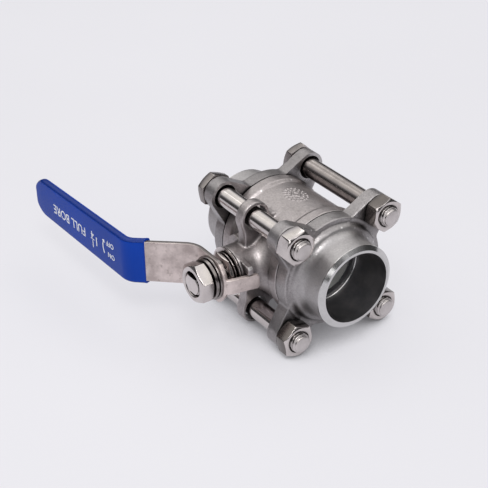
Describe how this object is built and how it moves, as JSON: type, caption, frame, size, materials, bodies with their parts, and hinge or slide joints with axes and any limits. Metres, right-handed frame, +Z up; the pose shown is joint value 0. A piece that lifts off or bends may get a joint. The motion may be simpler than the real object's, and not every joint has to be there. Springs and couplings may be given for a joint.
{
  "type": "three-piece ball valve",
  "caption": "Lever-operated three-piece full-bore ball valve with butt-weld ends, a bolted centre body, floating ball and a cranked lever with a dipped grip sleeve.",
  "frame": {"origin": "centre of the whole valve's outline in X and Y, at the lowest point in Z, which is the plane the lower bolting rests on", "axes": "+X along the pipe towards the near weld end, +Z up, the stem points along -Y and the lever lies back along -X when the valve is open"},
  "size_m": [0.1688, 0.1142, 0.0684],
  "materials": {
    "cast_stainless": "bead-blasted investment casting, fine grain, satin",
    "polished_ball": "mirror polished stainless steel",
    "stamped_stainless": "stamped strip, dull, slightly mottled",
    "blue_vinyl": "dip-moulded vinyl, semi-gloss",
    "ptfe": "turned white fluoropolymer",
    "bolting_steel": "cold-formed stainless bolting, bright",
    "turned_stainless": "turned and polished stainless"
  },
  "bodies": {
    "valve_body": {"centre_body": "cast_stainless", "near_end_cap": "cast_stainless", "near_seat_ring": "ptfe", "near_body_gasket": "ptfe", "far_end_cap": "cast_stainless", "far_seat_ring": "ptfe", "far_body_gasket": "ptfe", "bolt_upper_stem_side": "bolting_steel", "nut_upper_stem_side": "bolting_steel", "bolt_upper_back": "bolting_steel", "nut_upper_back": "bolting_steel", "bolt_lower_stem_side": "bolting_steel", "nut_lower_stem_side": "bolting_steel", "bolt_lower_back": "bolting_steel", "nut_lower_back": "bolting_steel", "stem_thrust_washer": "ptfe", "stem_packing_ring_1": "ptfe", "stem_packing_ring_2": "ptfe", "stem_packing_ring_3": "ptfe", "gland_follower": "turned_stainless"},
    "stem_and_lever": {"stem": "turned_stainless", "disc_spring_inner": "turned_stainless", "disc_spring_outer": "turned_stainless", "gland_nut": "turned_stainless", "lever": "stamped_stainless", "lever_grip_sleeve": "blue_vinyl", "lever_plain_washer": "turned_stainless", "lever_spring_washer": "turned_stainless", "lever_nut": "turned_stainless"},
    "ball": {"ball": "polished_ball"}
  },
  "joints": [
    {"name": "lever_turn", "type": "hinge", "parent": "valve_body", "child": "stem_and_lever", "pos_m": [0.03766, -0.02232, 0.03425], "axis": [0, 1, 0], "range_deg": [0, 90]},
    {"name": "ball_turn", "type": "hinge", "parent": "valve_body", "child": "ball", "pos_m": [0.03766, 0.02268, 0.03425], "axis": [0, 1, 0], "range_deg": [0, 90]}
  ],
  "couplings": [
    {"joint": "ball_turn", "follows": "lever_turn", "ratio": 1}
  ]
}
